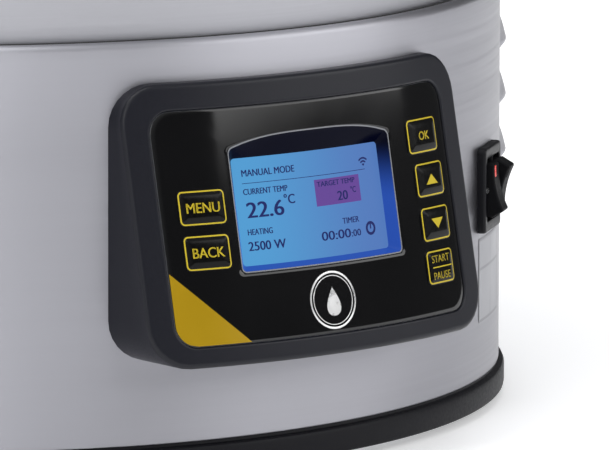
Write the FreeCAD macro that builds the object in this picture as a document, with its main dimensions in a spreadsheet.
import FreeCAD, Part
import Sketcher
import math
import os
import re

# Electric all in one brewer, in millimetres.
# +Z is up. The origin is the middle of the footprint, on the surface that the feet stand on.
# The control panel faces -Y. An angle round the brewer is measured about +Z from the panel,
# positive towards +X, so a piece modelled at the front is turned into place by that angle.

doc = FreeCAD.newDocument("Brewer")
sheet = doc.addObject("Spreadsheet::Sheet", "Sizes")

SIZES = {
    # base
    "foot_radius": 11, "foot_circle": 162, "foot_count": 6,
    "plate_low": 3.2, "plate_high": 4.4, "plate_radius": 188.7,
    "ring_radius": 197, "ring_low": 3, "ring_high": 12.2, "ring_ledge": 7.4,
    "plate_screw_circle": 185.5, "plate_screw_count": 8,
    "shell_radius": 195, "shell_wall": 1, "shell_low": 13.5, "shell_high": 151, "shell_lip": 191.2,
    # cooling louvres
    "louvre_half_width": 20, "louvre_bulge": 4.4,
    "louvre_low": 67, "louvre_pitch": 20.2, "louvre_first": 57, "louvre_step": 14,
    # control panel: its face is a cone about the Z axis, wider at the bottom
    "face_radius": 216.9, "face_low": 49.8, "face_slope": 0.198,
    "housing_half": 73.4, "housing_low": 43, "housing_high": 137.4, "housing_corner": 14,
    "housing_wall": 2.6, "front_wall": 4.2,
    "fascia_half": 64, "fascia_high": 128, "fascia_corner": 7.5, "fascia_back": 3.4, "fascia_front": 0.5,
    "window_left": -36.9, "window_right": 32.6, "window_low": 73.1, "window_high": 117,
    "glass_left": -34.2, "glass_right": 30.6, "glass_low": 75.6, "glass_high": 110.4,
    "button_gap": 0.35, "button_proud": 0.8, "plunger_end": 190.8,
    "board_front": 183, "board_half": 57, "board_low": 52, "board_tall": 74,
    "post_left": -46, "post_right": 38, "post_low": 58, "post_high": 120,
    "module_front": 203.9, "module_wide": 72, "module_tall": 44,
    # mains switch
    "switch_angle": 36.4, "switch_height": 81, "bezel_width": 24.8, "bezel_height": 30.5,
    "bezel_thick": 2.65, "rocker_width": 8.5, "rocker_half": 10, "rocker_spread": 4.7, "rocker_tilt": 12,
    # mains inlet
    "inlet_angle": 150, "inlet_height": 60,
    # kettle
    "kettle_radius": 190.4, "kettle_wall": 1.2, "kettle_low": 136, "kettle_high": 618, "rim_radius": 194.4,
    "drain_place": 118, "element_radius": 90, "probe_x": -70, "probe_y": -90,
    # pump
    "pump_height": 48, "motor_radius": 30, "volute_radius": 31, "shaft_radius": 3,
    "inlet_port": 9, "outlet_port": 8, "delivery_height": 68, "hose_wall": 2.4, "hose_bend": 35,
    # tap
    "tap_angle": -50, "tap_height": 178, "tap_bore": 6.5, "tap_outer": 13, "tap_ball_place": 214,
    "tap_ball_radius": 10, "stem_radius": 3, "barb_radius": 6.35,
    # recirculation pipe
    "pipe_place": 207.2, "pipe_radius": 7.5, "pipe_bore": 6.5, "pipe_bend": 10,
    "valve_low": 560, "valve_high": 600, "pipe_high": 668,
    # side handles
    "handle_height": 540, "handle_reach": 229, "handle_half": 55, "grip_radius": 10,
    # malt pipe
    "malt_radius": 165, "malt_low": 200, "malt_high": 598, "malt_wall": 1, "overflow_radius": 16,
    # lid
    "lid_low": 618, "lid_skirt": 188.4, "lid_skirt_wall": 1.2, "lid_seat": 182.5,
    "glass_radius": 186.4, "dome_rise": 650, "dome_radius": 594, "glass_thick": 4,
}
for row, (alias, value) in enumerate(SIZES.items(), start=1):
    sheet.set("A%d" % row, alias)
    sheet.set("B%d" % row, str(value))
    sheet.setAlias("B%d" % row, alias)
doc.recompute()

sub_parts = []
UP = FreeCAD.Rotation()
OUT = FreeCAD.Rotation(FreeCAD.Vector(1, 0, 0), 90)
BACK = FreeCAD.Rotation(FreeCAD.Vector(1, 0, 0), -90)
RIGHT = FreeCAD.Rotation(FreeCAD.Vector(0, 1, 0), 90)


def sheet_words(text):
    """Write an expression's size names as references to the sheet."""
    return re.sub(r"\b([a-z][a-z_]+)\b(?!\()", r"Sizes.\1", text)


def value(text):
    return float(sheet.evalExpression(sheet_words(text)))


def bind(piece, **expressions):
    for name, text in expressions.items():
        piece.setExpression(name, sheet_words(text))
    return piece


def place(piece, x, y, z, rotation=UP):
    piece.Placement = FreeCAD.Placement(FreeCAD.Vector(0, 0, 0), rotation)
    for axis, text in (("x", x), ("y", y), ("z", z)):
        piece.setExpression("Placement.Base." + axis, sheet_words(text))
    return piece


def turn(piece, angle):
    """Turn a piece modelled at the front to its place round the brewer."""
    piece.Placement = FreeCAD.Placement(FreeCAD.Vector(), FreeCAD.Rotation(FreeCAD.Vector(0, 0, 1), 10))
    piece.setExpression("Placement.Rotation.Angle", sheet_words(angle))
    return piece


def keep(piece):
    """Count a finished piece as one of the sub-parts."""
    sub_parts.append(piece)
    return piece


def rod(name, radius, length, x="0", y="0", z="0", along=UP):
    piece = doc.addObject("Part::Cylinder", name)
    bind(piece, Radius=radius, Height=length)
    return place(piece, x, y, z, along)


def cone(name, first, second, length, x="0", y="0", z="0", along=UP):
    piece = doc.addObject("Part::Cone", name)
    bind(piece, Radius1=first, Radius2=second, Height=length)
    return place(piece, x, y, z, along)


def ball(name, radius, x="0", y="0", z="0"):
    piece = doc.addObject("Part::Sphere", name)
    bind(piece, Radius=radius)
    return place(piece, x, y, z)


def block(name, x, y, z, length, width, height):
    piece = doc.addObject("Part::Box", name)
    bind(piece, Length=length, Width=width, Height=height)
    return place(piece, x, y, z)


def fuse(name, pieces):
    piece = doc.addObject("Part::MultiFuse", name)
    piece.Shapes = pieces
    return piece


def group(name, pieces):
    piece = doc.addObject("Part::Compound", name)
    piece.Links = pieces
    return piece


def cut(name, base, *tools):
    piece = doc.addObject("Part::Cut", name)
    piece.Base = base
    piece.Tool = tools[0] if len(tools) == 1 else fuse(name + "_tools", list(tools))
    return piece


def overlap(name, first, second):
    piece = doc.addObject("Part::Common", name)
    piece.Base = first
    piece.Tool = second
    return piece


def outline_sketch(body, role, outline, start="0"):
    """A closed outline of straight runs; each corner is held by the sheet."""
    plane = [item for item in body.Origin.OriginFeatures if item.Role == role][0]
    sketch = body.newObject("Sketcher::SketchObject", body.Name + "_sketch")
    sketch.AttachmentSupport = [(plane, "")]
    sketch.MapMode = "FlatFace"
    sketch.setExpression("AttachmentOffset.Base.z", sheet_words(start))
    corners = [FreeCAD.Vector(value(across), value(up), 0) for across, up in outline]
    count = len(corners)
    for index in range(count):
        sketch.addGeometry(Part.LineSegment(corners[index], corners[(index + 1) % count]))
    for index in range(count):
        sketch.addConstraint(Sketcher.Constraint("Coincident", index, 2, (index + 1) % count, 1))
    for index, (across, up) in enumerate(outline):
        for kind, text in (("DistanceX", across), ("DistanceY", up)):
            number = sketch.addConstraint(Sketcher.Constraint(kind, -1, 1, index, 1, value(text)))
            sketch.setExpression("Constraints[%d]" % number, sheet_words(text))
    doc.recompute()
    return sketch


def rounded(body, radius, wanted):
    """Round the edges of a body's tip that the test wants."""
    doc.recompute()
    tip = body.Tip
    names = ["Edge%d" % number for number, edge in enumerate(tip.Shape.Edges, start=1) if wanted(edge)]
    fillet = body.newObject("PartDesign::Fillet", body.Name + "_round")
    fillet.Base = (tip, names)
    bind(fillet, Radius=radius)
    doc.recompute()
    return body


def turned(name, outline):
    """A body turned about the Z axis from (radius, height) corners."""
    body = doc.addObject("PartDesign::Body", name)
    sketch = outline_sketch(body, "XZ_Plane", outline)
    revolution = body.newObject("PartDesign::Revolution", name + "_turned")
    revolution.Profile = (sketch, [""])
    revolution.ReferenceAxis = (sketch, ["V_Axis"])
    revolution.Angle = 360
    doc.recompute()
    return body


def plate(name, role, outline, thick, start="0"):
    """A body padded from a flat outline."""
    body = doc.addObject("PartDesign::Body", name)
    sketch = outline_sketch(body, role, outline, start)
    pad = body.newObject("PartDesign::Pad", name + "_pad")
    pad.Profile = (sketch, [""])
    bind(pad, Length=thick)
    doc.recompute()
    return body


def front_block(name, left, right, low, high, corner, depth="60", start="170"):
    """A block at the front whose corners, seen from the front, are round."""
    outline = [(left, low), (right, low), (right, high), (left, high)]
    body = plate(name, "XZ_Plane", outline, depth, start)
    return rounded(body, corner, lambda edge: abs(edge.BoundBox.YLength) > 1)


def face_ring(name, inner, outer, low="face_low - 10", high="fascia_high + 12"):
    """A ring between two cones that run parallel to the panel's face, by their depth under it."""
    at_low = "face_radius + (face_low - (%s)) * face_slope - (%s)"
    outline = [(at_low % (low, inner), low), (at_low % (low, outer), low),
               (at_low % (high, outer), high), (at_low % (high, inner), high)]
    return turned(name, outline)


# ---- base ----

def circular(radius):
    """Pick the circular edges of one radius."""
    def wanted(edge):
        return isinstance(edge.Curve, Part.Circle) and abs(edge.Curve.Radius - value(radius)) < 1e-4
    return wanted


def polar(name, make, count, radius, first=0.0):
    """Copies of a small piece on a circle about Z."""
    pieces = []
    total = int(value(count))
    for index in range(total):
        angle = first + 360.0 * index / total
        x = "(%s) * cos(%.6f)" % (radius, angle)
        y = "(%s) * sin(%.6f)" % (radius, angle)
        pieces.append(make("%s_%d" % (name, index + 1), x, y))
    return pieces


def make_base():
    ring_blank = turned("ring_blank", [
        ("plate_radius - 6.7", "plate_high"), ("plate_radius + 0.3", "plate_high"),
        ("plate_radius + 0.3", "ring_low"), ("ring_radius", "ring_low"),
        ("ring_radius", "ring_high"), ("shell_radius - 0.4", "ring_high"),
        ("shell_radius - 0.4", "shell_low"), ("shell_radius - shell_wall - 0.3", "shell_low"),
        ("shell_radius - shell_wall - 0.3", "shell_low + 8.5"),
        ("shell_radius - 3.8", "shell_low + 8.5"), ("shell_radius - 3.8", "ring_ledge"),
        ("plate_radius - 6.7", "ring_ledge")])
    rounded(ring_blank, "1.6", circular("ring_radius"))
    ring_holes = polar("ring_hole", lambda name, x, y: rod(name, "1.55", "6", x, y, "plate_low"),
                       "plate_screw_count", "plate_screw_circle", 22.5)
    keep(cut("base_ring", ring_blank, group("ring_holes", ring_holes)))

    disc = rod("plate_disc", "plate_radius", "plate_high - plate_low", z="plate_low")
    screw_holes = polar("plate_hole", lambda name, x, y: rod(name, "1.8", "4", x, y, "plate_low - 1"),
                        "plate_screw_count", "plate_screw_circle", 22.5)
    vents = []
    for row, (count, radius) in enumerate(((16, "110"), (20, "125"), (24, "140"))):
        vents += polar("vent_%d" % row, lambda name, x, y: rod(name, "4", "4", x, y, "plate_low - 1"),
                       str(count), radius, 5)
    keep(cut("base_plate", disc, group("plate_holes", screw_holes + vents)))

    def foot(name, x, y):
        return cone(name, "foot_radius - 1.5", "foot_radius", "plate_low", x, y, "0")
    keep(group("rubber_feet", polar("foot", foot, "foot_count", "foot_circle", 0)))

    def screw(name, x, y):
        head = cone(name + "_head", "2.4", "3.4", "1.7", x, y, "plate_low - 1.7")
        shank = rod(name + "_shank", "1.5", "4.6", x, y, "plate_low")
        return fuse(name, [head, shank])
    keep(group("base_plate_screws",
               polar("plate_screw", screw, "plate_screw_count", "plate_screw_circle", 22.5)))


def spindle(name, angle, height, half_width, radius):
    """Two cones base to base, lying along the shell's surface."""
    cones = []
    turned_to = FreeCAD.Rotation(FreeCAD.Vector(0, 0, 1), angle)
    for side, along in (("right", RIGHT), ("left", FreeCAD.Rotation(FreeCAD.Vector(0, 1, 0), -90))):
        cones.append(cone(name + "_" + side, radius, "0.4", half_width, "shell_radius * sin(%g)" % angle,
                          "-shell_radius * cos(%g)" % angle, height, turned_to * along))
    return fuse(name, cones)


def make_shell():
    blank = turned("shell_blank", [
        ("shell_radius - shell_wall", "shell_low"), ("shell_radius", "shell_low"),
        ("shell_radius", "shell_high"), ("shell_lip", "shell_high"),
        ("shell_lip", "shell_high - shell_wall"), ("shell_radius - shell_wall", "shell_high - shell_wall")])

    def top_edge(edge):
        return circular("shell_radius")(edge) and edge.BoundBox.ZMin > value("shell_high") - 0.1
    rounded(blank, "2.3", top_edge)
    hoods = []
    hollows = []
    for side in (-1, 1):
        for column in range(3):
            angle = side * (value("louvre_first") + column * value("louvre_step"))
            for row in range(4):
                height = "louvre_low + %d * louvre_pitch" % row
                name = "louvre_%s%d%d" % ("l" if side < 0 else "r", column, row)
                solid = spindle(name, angle, height, "louvre_half_width", "louvre_bulge")
                hoods.append(cut(name + "_hood", solid,
                                 rod(name + "_core", "shell_radius - shell_wall / 2", "20", z=height + " - 10")))
                hollows.append(spindle(name + "_hollow", angle, height + " - 1.2", "louvre_half_width - 3",
                                       "louvre_bulge - shell_wall"))
    pressed = fuse("shell_pressed", [blank] + hoods)
    panel_opening = block("panel_opening", "-60", "-shell_radius - 5", "50", "120", "20", "76")
    switch_block = block("switch_block", "-11.2", "-shell_radius - 5", "switch_height - 14", "22.4", "20", "28")
    switch_opening = turn(group("switch_opening", [switch_block]), "switch_angle")
    inlet_block = block("inlet_block", "-16.3", "-shell_radius - 5", "inlet_height - 12.3", "32.6", "20", "24.6")
    inlet_opening = turn(group("inlet_opening", [inlet_block]), "inlet_angle")
    pipe_opening = rod("pipe_opening", "pipe_radius + 1", "30", y="shell_radius - 15", z="delivery_height",
                       along=BACK)
    openings = [panel_opening, switch_opening, inlet_opening, pipe_opening]
    keep(cut("base_shell", pressed, group("shell_openings", hollows + openings)))


# ---- control panel ----

BUTTONS = {
    # name: arc distance from the panel's middle, height up its slope, width, height
    "menu_button": (-49.7, 46.8, 17.8, 12.2), "back_button": (-49.7, 31.6, 17.4, 12.2),
    "ok_button": (50.9, 61.8, 16.4, 12.4), "up_button": (52.0, 46.5, 15.3, 12.0),
    "down_button": (52.2, 31.2, 15.3, 12.0), "start_pause_button": (52.0, 16.3, 15.3, 12.0),
}


def button_place(name):
    """A button's angle round the brewer, its middle height and its size."""
    arc, slope_height, width, height = BUTTONS[name]
    tilt = math.atan(value("face_slope"))
    radius = value("face_radius") - slope_height * math.sin(tilt)
    middle = value("face_low") + slope_height * math.cos(tilt)
    return math.degrees(arc / radius), middle, width, height


def button_block(name, label, grow):
    angle, middle, width, height = button_place(label)
    half = "%g + (%s)" % (width / 2, grow)
    low = "%g - (%s)" % (middle - height / 2, grow)
    high = "%g + (%s)" % (middle + height / 2, grow)
    body = front_block(name, "-(%s)" % half, half, low, high, "2")
    return turn(body, "%g" % angle)


def make_panel():
    outer = overlap("housing_outer",
                    front_block("housing_block", "-housing_half", "housing_half", "housing_low", "housing_high",
                                "housing_corner"),
                    turned("housing_ring", [
                        ("shell_radius + 0.05", "housing_low"),
                        ("face_radius + (face_low - housing_low) * face_slope", "housing_low"),
                        ("face_radius + (face_low - housing_high) * face_slope", "housing_high"),
                        ("shell_radius + 0.05", "housing_high")]))
    hollow = overlap("housing_hollow",
                     front_block("hollow_block", "-housing_half + housing_wall", "housing_half - housing_wall",
                                 "housing_low + housing_wall", "housing_high - housing_wall", "11.4"),
                     face_ring("hollow_ring", "40", "front_wall"))
    pocket = overlap("fascia_pocket",
                     front_block("pocket_block", "-fascia_half - 0.15", "fascia_half + 0.15", "face_low - 0.15",
                                 "fascia_high + 0.15", "fascia_corner"),
                     face_ring("pocket_ring", "fascia_back", "-5"))
    behind = front_block("ledge_block", "-fascia_half + 3", "fascia_half - 3", "face_low + 3", "fascia_high - 3", "5")
    keep(cut("panel_housing", outer, hollow, pocket, behind))

    blank = overlap("fascia_blank",
                    front_block("fascia_block", "-fascia_half", "fascia_half", "face_low", "fascia_high",
                                "fascia_corner"),
                    face_ring("fascia_ring", "fascia_back", "fascia_front"))
    posts = []
    corners = [("post_left", "post_low"), ("post_right", "post_low"),
               ("post_left", "post_high"), ("post_right", "post_high")]
    for number, (across, height) in enumerate(corners, start=1):
        reach = "208" if height == "post_low" else "195.6"
        posts.append(rod("fascia_post_%d" % number, "3", "(%s) - board_front" % reach, across, "-board_front",
                         height, OUT))
    window = front_block("window_block", "window_left", "window_right", "window_low", "window_high", "2")
    button_holes = [button_block(name + "_hole", name, "button_gap") for name in BUTTONS]
    keep(cut("fascia_panel", fuse("fascia_posted", [blank] + posts), group("fascia_holes", [window] + button_holes)))

    surround = overlap("surround_blank",
                       front_block("surround_block", "window_left + 0.2", "window_right - 0.2", "window_low + 0.2",
                                   "window_high - 0.2", "2"),
                       face_ring("surround_ring", "4.6", "fascia_front"))
    view = front_block("view_block", "glass_left", "glass_right", "glass_low", "glass_high", "2.5")
    keep(cut("display_frame", surround, view))

    middle = "(glass_left + glass_right) / 2"
    module = block("display_module", "0", "0", "0", "module_wide", "5", "module_tall")
    module.Placement = FreeCAD.Placement(FreeCAD.Vector(), FreeCAD.Rotation(FreeCAD.Vector(1, 0, 0), -11.2))
    for axis, text in (("x", middle + " - module_wide / 2"), ("y", "-module_front"),
                       ("z", "(glass_low + glass_high - module_tall) / 2")):
        module.setExpression("Placement.Base." + axis, sheet_words(text))
    keep(module)

    for name in BUTTONS:
        angle, height_up, width, height = button_place(name)
        cap = overlap(name + "_cap", button_block(name + "_block", name, "0"),
                      face_ring(name + "_ring", "5", "-button_proud"))
        reach = "face_radius + (face_low - %g) * face_slope - 3 - plunger_end" % height_up
        plunger = rod(name + "_plunger", "2", reach, "plunger_end * sin(%g)" % angle,
                      "-plunger_end * cos(%g)" % angle, "%g" % height_up,
                      FreeCAD.Rotation(FreeCAD.Vector(0, 0, 1), angle) * OUT)
        keep(fuse(name, [cap, plunger]))

    board = block("board_blank", "-board_half", "-board_front", "board_low", "2 * board_half", "1.6",
                  "board_tall")
    holes = []
    screws = []
    for number, (across, height) in enumerate(corners, start=1):
        holes.append(rod("board_hole_%d" % number, "1.6", "6", across, "-board_front + 4", height, OUT))
        head = rod("panel_screw_head_%d" % number, "2.8", "2", across, "-board_front + 3.6", height, OUT)
        shank = rod("panel_screw_shank_%d" % number, "1.4", "1.6", across, "-board_front + 1.6", height, OUT)
        screws.append(fuse("panel_screw_%d" % number, [head, shank]))
    keep(cut("control_board", board, group("board_holes", holes)))
    keep(group("panel_screws", screws))


# ---- mains switch and inlet ----

def make_switch():
    front = "shell_radius + bezel_thick"
    bezel = front_block("bezel_block", "-bezel_width / 2", "bezel_width / 2", "switch_height - bezel_height / 2",
                        "switch_height + bezel_height / 2", "1.5", "bezel_thick", "shell_radius")
    box = block("switch_box", "-10.9", "-shell_radius", "switch_height - 13.7", "21.8", "24", "27.4")
    slots = []
    for side in ("-rocker_spread", "rocker_spread"):
        slots.append(block("slot", "(%s) - rocker_width / 2 - 0.25" % side, "-(%s) - 1" % front,
                           "switch_height - rocker_half - 0.6", "rocker_width + 0.5", "13", "2 * rocker_half + 1.2"))
    pin_hole = rod("pin_hole", "1.22", "19.5", "-9.75", "-(%s)" % front + " + 0.6", "switch_height", RIGHT)
    body = cut("switch_body", fuse("switch_blank", [bezel, box]), *slots, pin_hole)
    keep(turn(body, "switch_angle"))
    pin = rod("switch_pin_blank", "1.2", "19.2", "-9.6", "-(%s)" % front + " + 0.6", "switch_height", RIGHT)
    keep(turn(group("switch_pin", [pin]), "switch_angle"))

    for name, side, tilt in (("rocker_left", "-rocker_spread", -1), ("rocker_right", "rocker_spread", 1)):
        profile = plate(name + "_profile", "YZ_Plane", [
            ("-4.8", "rocker_half - 1.6"), ("-3.7", "0"), ("-4.8", "1.6 - rocker_half"), ("0", "-rocker_half"),
            ("5.2", "-7.2"), ("7.6", "0"), ("5.2", "7.2"), ("0", "rocker_half")], "rocker_width")
        rocker = cut(name + "_level", profile, rod(name + "_bore", "1.25", "rocker_width + 2", x="-1", along=RIGHT))
        rocker.Placement = FreeCAD.Placement(
            FreeCAD.Vector(value("(%s) - rocker_width / 2" % side), -value(front) + 0.6, value("switch_height")),
            FreeCAD.Rotation(FreeCAD.Vector(1, 0, 0), tilt * value("rocker_tilt")))
        keep(turn(group(name, [rocker]), "switch_angle"))


def make_inlet():
    flange = block("inlet_flange", "-25", "-shell_radius - 3.6", "inlet_height - 15", "50", "3.5", "30")
    box = block("inlet_box", "-16", "-shell_radius - 0.2", "inlet_height - 12", "32", "26", "24")
    recess = block("inlet_recess", "-13.2", "-shell_radius - 4", "inlet_height - 9", "26.4", "20", "18")
    ears = [rod("inlet_hole_%d" % side, "2", "8", "%d * 20.5" % side, "-shell_radius + 1", "inlet_height", OUT)
            for side in (-1, 1)]
    pins = [block("inlet_pin_%d" % index, "%d * 7 - 1" % index, "-shell_radius + 2", "inlet_height + %d - 2.5" % up,
                  "2", "16", "5") for index, up in ((-1, -2), (0, 3), (1, -2))]
    body = cut("inlet_body", fuse("inlet_blank", [flange, box]), recess, *ears)
    keep(turn(fuse("mains_inlet", [body] + pins), "inlet_angle"))


# ---- electronics, heating and pump inside the base ----

def make_inside():
    board = block("power_board_blank", "-130", "60", "14", "90", "70", "1.6")
    legs = [rod("power_leg_%d%d" % (i, j), "3", "14 - plate_high", "-126 + %d * 82" % i, "64 + %d * 62" % j,
                "plate_high") for i in (0, 1) for j in (0, 1)]
    keep(fuse("power_board", [board] + legs))
    fins = [block("fin_%d" % index, "-122", "72 + %d * 6" % index, "18", "40", "2", "26") for index in range(8)]
    keep(fuse("heat_sink", [block("fin_base", "-122", "72", "15.6", "40", "44", "3")] + fins))

    disc = rod("element_disc", "element_radius", "4.4", z="kettle_low - 4.4")
    coil = doc.addObject("Part::Torus", "element_coil")
    bind(coil, Radius1="element_radius - 18", Radius2="4.3")
    place(coil, "0", "0", "kettle_low - 7")
    tabs = [block("element_tab_%d" % side, "-3", "%d * 60 - 3" % side, "kettle_low - 18", "6", "1.2", "14")
            for side in (-1, 1)]
    keep(fuse("heating_element", [disc, coil] + tabs))
    cup = rod("cutout_cup", "9.5", "9", "30", "-20", "kettle_low - 4.4 - 9")
    button = rod("cutout_button", "2.5", "3.5", "30", "-20", "kettle_low - 4.4 - 12")
    keep(fuse("thermal_cutout", [cup, button]))
    stem = rod("probe_stem", "3", "42", "probe_x", "probe_y", "kettle_low - 14")
    collar = rod("probe_collar", "7", "5", "probe_x", "probe_y", "kettle_low - 5")
    keep(fuse("temperature_probe", [stem, collar]))

    # the pump lies along X; its inlet points to +X and its outlet to +Y
    saddle = cut("pump_bracket", block("bracket_block", "-78", "-29", "plate_high", "50", "58", "24"),
                 rod("bracket_seat", "motor_radius + 0.05", "60", "-83", "0", "pump_height", RIGHT))
    keep(saddle)
    motor = cut("pump_motor",
                fuse("motor_blank", [rod("motor_can", "motor_radius", "67", "-82", "0", "pump_height", RIGHT),
                                     rod("motor_tail", "12", "6", "-88", "0", "pump_height", RIGHT)]),
                rod("motor_bore", "shaft_radius + 0.05", "55", "-65", "0", "pump_height", RIGHT))
    keep(motor)
    case = fuse("case_blank", [rod("case_drum", "volute_radius", "29", "-15", "0", "pump_height", RIGHT),
                               rod("case_inlet", "inlet_port", "30", "10", "0", "pump_height", RIGHT),
                               rod("case_outlet", "outlet_port", "44", "0", "6", "delivery_height", BACK)])
    chamber = fuse("case_chamber", [rod("case_room", "volute_radius - 4", "22", "-11.5", "0", "pump_height", RIGHT),
                                    rod("case_inlet_bore", "inlet_port - 2", "40", "2", "0", "pump_height", RIGHT),
                                    rod("case_outlet_bore", "outlet_port - 2", "50", "0", "6", "delivery_height",
                                        BACK),
                                    rod("case_shaft_bore", "shaft_radius + 0.05", "10", "-20", "0", "pump_height",
                                        RIGHT)])
    keep(cut("pump_housing", case, chamber))
    blades = []
    for index in range(6):
        blade = doc.addObject("Part::Box", "blade_%d" % index)
        bind(blade, Length="12", Width="2", Height="18")
        blade.Placement = FreeCAD.Placement(
            FreeCAD.Vector(0, 0, value("pump_height")), FreeCAD.Rotation(FreeCAD.Vector(1, 0, 0), 60 * index)
        ) * FreeCAD.Placement(FreeCAD.Vector(-8, -1, 5), UP)
        blades.append(blade)
    keep(fuse("pump_impeller", [rod("impeller_disc", "24", "2.5", "-10", "0", "pump_height", RIGHT),
                                rod("impeller_hub", "7", "12", "-10", "0", "pump_height", RIGHT),
                                rod("impeller_shaft", "shaft_radius", "50", "-59", "0", "pump_height", RIGHT),
                                *blades]))

    # suction hose: along +X, then up to the kettle's drain
    def suction(name, radius):
        bend = doc.addObject("Part::Torus", name + "_bend")
        bind(bend, Radius1="hose_bend", Radius2=radius)
        bend.Angle3 = 90
        bend.Placement = FreeCAD.Placement(FreeCAD.Vector(), FreeCAD.Rotation(FreeCAD.Vector(1, 0, 0), 90)
                                           * FreeCAD.Rotation(FreeCAD.Vector(0, 0, 1), -90))
        for axis, text in (("x", "drain_place - hose_bend"), ("y", "0"), ("z", "pump_height + hose_bend")):
            bend.setExpression("Placement.Base." + axis, sheet_words(text))
        run = rod(name + "_run", radius, "drain_place - hose_bend - 20", "20", "0", "pump_height", RIGHT)
        rise = rod(name + "_rise", radius, "kettle_low - 18 - pump_height - hose_bend", "drain_place", "0",
                   "pump_height + hose_bend")
        return fuse(name, [run, bend, rise])
    keep(cut("pump_inlet_hose", suction("suction_outer", "inlet_port + hose_wall"),
             suction("suction_bore", "inlet_port + 0.05")))
    keep(cut("pump_outlet_hose",
             rod("delivery_outer", "outlet_port + hose_wall", "150", "0", "32", "delivery_height", BACK),
             rod("delivery_bore", "outlet_port + 0.05", "160", "0", "30", "delivery_height", BACK)))
    clips = []
    for name, port, x, y, z, along in (
            ("clip_1", "inlet_port", "25", "0", "pump_height", RIGHT),
            ("clip_2", "inlet_port", "drain_place", "0", "104", UP),
            ("clip_3", "outlet_port", "0", "38", "delivery_height", BACK),
            ("clip_4", "outlet_port", "0", "171", "delivery_height", BACK)):
        clips.append(cut(name, rod(name + "_out", port + " + hose_wall + 1", "8", x, y, z, along),
                         rod(name + "_in", port + " + hose_wall + 0.05", "8", x, y, z, along)))
    keep(group("hose_clips", clips))


# ---- kettle, drain and handles ----

def make_kettle():
    pot = turned("pot_blank", [
        ("0", "kettle_low"), ("kettle_radius", "kettle_low"), ("kettle_radius", "kettle_high - 6"),
        ("rim_radius", "kettle_high - 6"), ("rim_radius", "kettle_high"),
        ("kettle_radius - kettle_wall", "kettle_high"),
        ("kettle_radius - kettle_wall", "kettle_low + kettle_wall"), ("0", "kettle_low + kettle_wall")])
    rounded(pot, "1.9", circular("rim_radius"))
    drain_hole = rod("drain_hole", "inlet_port + 0.2", "10", "drain_place", "0", "kettle_low - 4")
    probe_hole = rod("probe_hole", "3.1", "10", "probe_x", "probe_y", "kettle_low - 4")
    tap_hole = turn(group("tap_hole", [rod("tap_hole_tool", "10.7", "30", "0", "-kettle_radius + 15", "tap_height",
                                           OUT)]), "tap_angle")
    keep(cut("kettle", pot, drain_hole, probe_hole, tap_hole))

    supports = []
    for number in range(4):
        arm = block("support_arm_%d" % number, "-12", "-193.4", "kettle_low - 2.2", "24", "43", "2.2")
        leg = block("support_leg_%d" % number, "-12", "-193.4", "kettle_low - 34", "24", "2", "34")
        supports.append(turn(fuse("support_%d" % number, [arm, leg]), "%d" % (45 + 90 * number)))
    keep(group("kettle_supports", supports))

    fitting = fuse("drain_blank", [rod("drain_tube", "inlet_port", "47", "drain_place", "0", "kettle_low - 40"),
                                   rod("drain_flange", "15", "4", "drain_place", "0", "kettle_low - 4"),
                                   rod("drain_nut", "15", "5", "drain_place", "0", "kettle_low + kettle_wall")])
    keep(cut("drain_fitting", fitting,
             rod("drain_bore", "inlet_port - 2", "60", "drain_place", "0", "kettle_low - 45")))

    brackets = []
    grips = []
    for side, along in ((-1, FreeCAD.Rotation(FreeCAD.Vector(0, 1, 0), -90)), (1, RIGHT)):
        posts = []
        for end in (-1, 1):
            tag = "%d%d" % (side + 1, end + 1)
            posts.append(rod("post_" + tag, "5", "handle_reach - 175", "%d * 175" % side, "%d * handle_half" % end,
                             "handle_height", along))
            posts.append(block("lug_" + tag, "%s" % ("177" if side > 0 else "-191"), "%d * handle_half - 12" % end,
                               "handle_height - 20", "14", "24", "40"))
            for up in (-1, 1):
                posts.append(rod("rivet_%s%d" % (tag, up + 1), "3.6", "2.2", "%d * 191" % side,
                                 "%d * handle_half" % end, "handle_height + %d * 13" % up, along))
        solid = fuse("bracket_blank_%d" % (side + 1), posts)
        inner = rod("bracket_inner_%d" % (side + 1), "kettle_radius + 0.02", "200", z="handle_height - 100")
        brackets.append(cut("bracket_%d" % (side + 1), solid, inner))
        grip = rod("grip_tube_%d" % (side + 1), "grip_radius", "2 * handle_half + 24", "%d * handle_reach" % side,
                   "-handle_half - 12", "handle_height", BACK)
        sockets = [rod("grip_socket_%d%d" % (side + 1, end + 1), "5.05", "30", "%d * (handle_reach - 30)" % side,
                       "%d * handle_half" % end, "handle_height", along) for end in (-1, 1)]
        grips.append(cut("grip_%d" % (side + 1), grip, *sockets))
    keep(group("handle_brackets", brackets))
    keep(group("handle_grips", grips))


# ---- outlet tap ----

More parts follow.
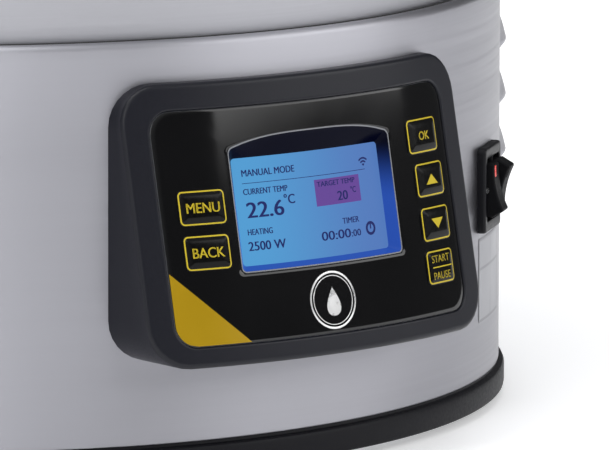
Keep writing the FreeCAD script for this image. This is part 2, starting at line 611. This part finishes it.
def make_tap():
    here = "-tap_ball_place"
    gasket = cut("gasket_ring", rod("gasket_outer", "16", "8", y="-186", z="tap_height", along=OUT),
                 rod("gasket_bore", "10.55", "20", y="-180", z="tap_height", along=OUT),
                 rod("gasket_seat", "kettle_radius", "100", z="tap_height - 50"))
    keep(turn(group("tap_gasket", [gasket]), "tap_angle"))
    nut = plate("nut_blank", "XZ_Plane",
                [("%.6f" % (18 * math.cos(math.radians(60 * k))),
                  "tap_height + %.6f" % (18 * math.sin(math.radians(60 * k)))) for k in range(6)], "6", "182")
    keep(turn(cut("tap_nut", nut, rod("nut_bore", "10.55", "20", y="-175", z="tap_height", along=OUT)), "tap_angle"))
    blank = fuse("tap_blank", [rod("tap_tail", "10.5", "16", y="-178", z="tap_height", along=OUT),
                               rod("tap_flange", "16", "3", y="-194", z="tap_height", along=OUT),
                               rod("tap_barrel", "tap_outer", "41", y="-197", z="tap_height", along=OUT),
                               rod("tap_boss", "7", "9", y=here, z="tap_height + 8")])
    body = cut("tap_body", blank, rod("tap_way", "tap_bore", "80", y="-170", z="tap_height", along=OUT),
               ball("tap_room", "tap_ball_radius + 0.3", y=here, z="tap_height"),
               rod("tap_stem_way", "stem_radius + 0.05", "30", y=here, z="tap_height"))
    keep(turn(body, "tap_angle"))
    closed = cut("tap_ball_blank", ball("tap_sphere", "tap_ball_radius", y=here, z="tap_height"),
                 rod("tap_ball_way", "tap_bore", "40", "-20", here, "tap_height", RIGHT))
    keep(turn(fuse("tap_ball", [closed, rod("tap_stem", "stem_radius", "16", y=here, z="tap_height + 8.5")]),
              "tap_angle"))
    bar = fuse("tap_bar", [block("tap_blade", "-64", here + " - 5.5", "tap_height + 18", "64", "11", "2.4"),
                           rod("tap_eye", "8", "2.4", y=here, z="tap_height + 18")])
    keep(turn(cut("tap_lever", bar, rod("tap_eye_hole", "stem_radius + 0.02", "8", y=here, z="tap_height + 15")),
              "tap_angle"))
    sleeve = cut("sleeve_blank",
                 front_block("sleeve_block", "-72", "-30", "tap_height + 15.6", "tap_height + 22.8", "2.5", "15",
                             "tap_ball_place - 7.5"),
                 block("sleeve_slot", "-64.3", here + " - 5.55", "tap_height + 17.95", "70", "11.1", "2.5"))
    keep(turn(group("tap_lever_sleeve", [sleeve]), "tap_angle"))
    spout = fuse("tap_barb_blank", [rod("barb_hex", "11.5", "9", y="-238", z="tap_height", along=OUT),
                                    rod("barb_tube", "barb_radius", "32", y="-245", z="tap_height", along=OUT),
                                    cone("barb_tip", "barb_radius", "barb_radius - 0.8", "3", y="-277",
                                         z="tap_height", along=OUT)])
    barb_bore = rod("barb_bore", "barb_radius - 1.8", "60", y="-230", z="tap_height", along=OUT)
    keep(turn(cut("tap_barb", spout, barb_bore), "tap_angle"))


# ---- recirculation pipe and valve, up the back ----

def pipe_run(name, radius):
    level = rod(name + "_level", radius, "pipe_place - pipe_bend - 168", "0", "168", "delivery_height", BACK)
    bend = doc.addObject("Part::Torus", name + "_bend")
    bind(bend, Radius1="pipe_bend", Radius2=radius)
    bend.Angle3 = 90
    bend.Placement = FreeCAD.Placement(FreeCAD.Vector(), FreeCAD.Rotation(FreeCAD.Vector(0, 0, 1), 90)
                                       * FreeCAD.Rotation(FreeCAD.Vector(1, 0, 0), 90)
                                       * FreeCAD.Rotation(FreeCAD.Vector(0, 0, 1), -90))
    for axis, text in (("x", "0"), ("y", "pipe_place - pipe_bend"), ("z", "delivery_height + pipe_bend")):
        bend.setExpression("Placement.Base." + axis, sheet_words(text))
    rise = rod(name + "_rise", radius, "valve_low - delivery_height - pipe_bend", "0", "pipe_place",
               "delivery_height + pipe_bend")
    return fuse(name, [level, bend, rise])


def make_recirculation():
    middle = "(valve_low + valve_high) / 2"
    keep(cut("recirculation_pipe", pipe_run("pipe_outer", "pipe_radius"), pipe_run("pipe_inner", "pipe_bore")))
    bush = fuse("bush_blank", [
        rod("bush_flange", "13", "2", "0", "shell_radius + 0.1", "delivery_height", BACK),
        rod("bush_sleeve", "pipe_radius + 0.9", "9", "0", "shell_radius - 8", "delivery_height", BACK),
        rod("bush_nut", "12.5", "4", "0", "shell_radius - 6", "delivery_height", BACK)])
    keep(cut("pipe_bush", bush, rod("bush_bore", "pipe_radius + 0.05", "30", "0", "shell_radius - 15",
                                    "delivery_height", BACK)))
    clips = []
    for number, height in enumerate(("250", "470"), start=1):
        clips.append(cut("pipe_clip_%d" % number,
                         block("clip_block_%d" % number, "-10", "180", height, "20", "35", "14"),
                         rod("clip_pipe_%d" % number, "pipe_radius + 0.05", "20", "0", "pipe_place", height + " - 2"),
                         rod("clip_pot_%d" % number, "kettle_radius", "20", "0", "0", height + " - 2")))
    keep(group("pipe_clips", clips))
    blank = fuse("valve_blank", [rod("valve_barrel", "11", "valve_high - valve_low", "0", "pipe_place",
                                     "valve_low"),
                                 rod("valve_boss", "6.5", "16", "0", "pipe_place", middle, RIGHT),
                                 rod("valve_collar", "9.5", "8", "0", "pipe_place", "valve_high"),
                                 rod("valve_spigot", "barb_radius", "pipe_high - valve_high - 3", "0", "pipe_place",
                                     "valve_high"),
                                 cone("valve_tip", "barb_radius", "barb_radius - 0.8", "3", "0", "pipe_place",
                                      "pipe_high - 3")])
    way = rod("valve_way", "barb_radius - 1.8", "130", "0", "pipe_place", "valve_low - 10")
    room = ball("valve_room", "tap_ball_radius - 0.7", "0", "pipe_place", middle)
    stem_way = rod("valve_stem_way", "stem_radius + 0.05", "30", "0", "pipe_place", middle, RIGHT)
    keep(cut("recirculation_valve", blank, way, room, stem_way))
    open_ball = cut("valve_ball_blank", ball("valve_sphere", "tap_ball_radius - 1", "0", "pipe_place", middle),
                    rod("valve_ball_way", "barb_radius - 1.8", "40", "0", "pipe_place", middle + " - 20"))
    keep(fuse("recirculation_ball", [open_ball, rod("valve_stem", "stem_radius", "14", "7.5", "pipe_place", middle,
                                                    RIGHT)]))
    bar = fuse("valve_bar", [block("valve_blade", "17", "pipe_place - 5", middle, "2.4", "10", "52"),
                             rod("valve_eye", "7.5", "2.4", "17", "pipe_place", middle, RIGHT)])
    keep(cut("recirculation_lever", bar, rod("valve_eye_hole", "stem_radius + 0.02", "8", "15", "pipe_place", middle,
                                             RIGHT)))


# ---- malt pipe ----

def sieve(name, height, centre):
    disc = rod(name + "_disc", "malt_radius - 1.6", "1.2", z=height)
    below = "(%s) - 1" % height
    holes = [rod(name + "_centre", centre, "4", z=below)]
    for ring in range(6):
        count = 10 + 7 * ring
        holes += polar("%s_hole_%d" % (name, ring), lambda label, x, y: rod(label, "3", "4", x, y, below),
                       str(count), str(40 + 22 * ring))
    return cut(name, disc, group(name + "_holes", holes))


def make_malt_pipe():
    keep(turned("malt_pipe", [
        ("malt_radius - 15", "malt_low"), ("malt_radius", "malt_low"), ("malt_radius", "malt_high - 3"),
        ("malt_radius + 3", "malt_high - 3"), ("malt_radius + 3", "malt_high"),
        ("malt_radius - malt_wall", "malt_high"), ("malt_radius - malt_wall", "malt_low + malt_wall"),
        ("malt_radius - 15", "malt_low + malt_wall")]))

    def leg(name, x, y):
        return rod(name, "4", "malt_low - kettle_low - kettle_wall", x, y, "kettle_low + kettle_wall")
    keep(group("malt_pipe_legs", polar("leg", leg, "4", "malt_radius - 7", 45)))
    keep(group("malt_pipe_sieves", [sieve("bottom_sieve", "malt_low + malt_wall", "overflow_radius - 3"),
                                    sieve("top_sieve", "malt_low + 4.2", "overflow_radius + 0.4")]))
    tube = turned("overflow_pipe", [
        ("overflow_radius - 1", "malt_low + 2.2"), ("overflow_radius + 6", "malt_low + 2.2"),
        ("overflow_radius + 6", "malt_low + 4.2"), ("overflow_radius", "malt_low + 4.2"),
        ("overflow_radius", "malt_high - 6"), ("overflow_radius - 1", "malt_high - 6")])
    keep(tube)


# ---- lid ----

def make_lid():
    rim = turned("lid_rim", [
        ("lid_skirt - lid_skirt_wall", "lid_low - 7"), ("lid_skirt", "lid_low - 7"), ("lid_skirt", "lid_low"),
        ("rim_radius + 1", "lid_low"), ("rim_radius + 1", "lid_low + 2.6"),
        ("glass_radius + 0.3", "lid_low + 2.6"), ("glass_radius + 0.3", "lid_low + 0.4"),
        ("lid_seat", "lid_low + 0.4"), ("lid_seat", "lid_low - 1.2"),
        ("lid_skirt - lid_skirt_wall", "lid_low - 1.2")])
    rounded(rim, "1", circular("rim_radius + 1"))
    keep(rim)
    centre = "dome_rise - dome_radius"
    cap = overlap("glass_cap", ball("dome_outer", "dome_radius", z=centre),
                  rod("glass_edge", "glass_radius", "60", z="lid_low + 0.4"))
    keep(cut("lid_glass", cap, ball("dome_inner", "dome_radius - glass_thick", z=centre),
             rod("glass_hole", "3.3", "60", z="lid_low")))
    knob = turned("knob_blank", [
        ("0", "dome_rise + 0.1"), ("13", "dome_rise + 0.1"), ("13", "dome_rise + 3"), ("7.5", "dome_rise + 7"),
        ("7", "dome_rise + 14"), ("19", "dome_rise + 22"), ("20", "dome_rise + 28"), ("15", "dome_rise + 34"),
        ("0", "dome_rise + 36")])
    rounded(knob, "2", circular("20"))
    keep(cut("lid_knob", knob, rod("knob_hole", "3.05", "15", z="dome_rise")))
    keep(fuse("lid_screw", [rod("lid_screw_head", "7", "2.4", z="dome_rise - glass_thick - 2.5"),
                            rod("lid_screw_shank", "3", "17", z="dome_rise - glass_thick - 0.6")]))


make_base()
make_shell()
make_panel()
make_switch()
make_inlet()
make_inside()
make_kettle()
make_tap()
make_recirculation()
make_malt_pipe()
make_lid()
doc.recompute()

# ---- checks and export ----

problems = []
for item in doc.Objects:
    if "Invalid" in item.State or "Error" in item.State:
        problems.append("%s is %s" % (item.Label, item.State))
for piece in sub_parts:
    if piece.Shape.isNull() or not piece.Shape.isValid() or piece.Shape.Volume < 1:
        problems.append("%s has no sound shape" % piece.Label)
if problems:
    raise RuntimeError("; ".join(problems))

os.makedirs("parts", exist_ok=True)
for piece in sub_parts:
    piece.Shape.exportStep("parts/%s.step" % piece.Label)
    box = piece.Shape.optimalBoundingBox(False)
    print("%-22s %2d solids %12.0f mm3  x %7.1f %7.1f  y %7.1f %7.1f  z %6.1f %6.1f" % (
        piece.Label, len(piece.Shape.Solids), piece.Shape.Volume, box.XMin, box.XMax, box.YMin, box.YMax,
        box.ZMin, box.ZMax))
print(len(sub_parts), "sub-parts")
